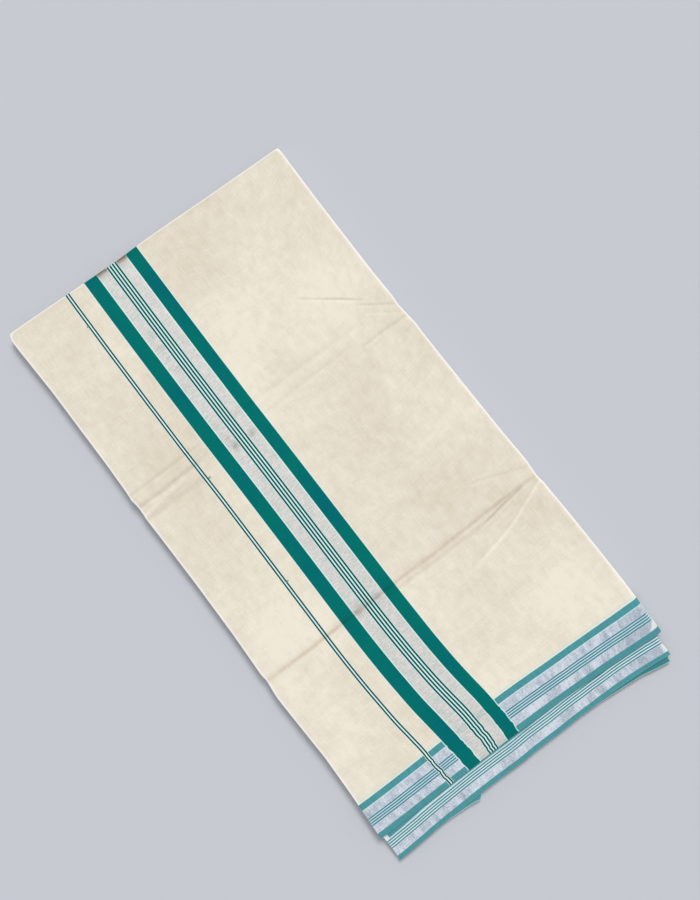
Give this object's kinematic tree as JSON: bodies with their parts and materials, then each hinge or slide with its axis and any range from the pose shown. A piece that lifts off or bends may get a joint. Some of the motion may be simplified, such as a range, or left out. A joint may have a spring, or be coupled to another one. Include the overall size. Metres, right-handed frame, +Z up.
{
  "type": "folded saree",
  "caption": "Cream cotton saree folded flat into a long pack, with green and silver woven borders at one end and bands along one side.",
  "frame": {"origin": "centre of the underside of the folded pack, on the surface that it lies on", "axes": "+Z up, +Y along the pack's length to its folded end, +X to the long edge that the outer leaf turns round; the selvedges lie at the -Y end and the bands on the -X side"},
  "size_m": [0.3301, 0.6246, 0.011],
  "materials": {
    "banded_cotton": "fine cream plain weave with green and silver bands and border woven in, matt, silver lightly shining",
    "cream_cotton": "fine cream plain weave, matt, with a soft lavender white at the folds",
    "silver_border": "silver woven border with thin green lines, lightly shining",
    "green_selvedge": "teal green woven selvedge, matt"
  },
  "bodies": {
    "root": {"outer_leaf": "banded_cotton", "tucked_leaf": "green_selvedge", "second_leaf": "silver_border", "third_leaf": "green_selvedge", "turned_end": "green_selvedge", "folded_layers": "cream_cotton"}
  },
  "joints": []
}
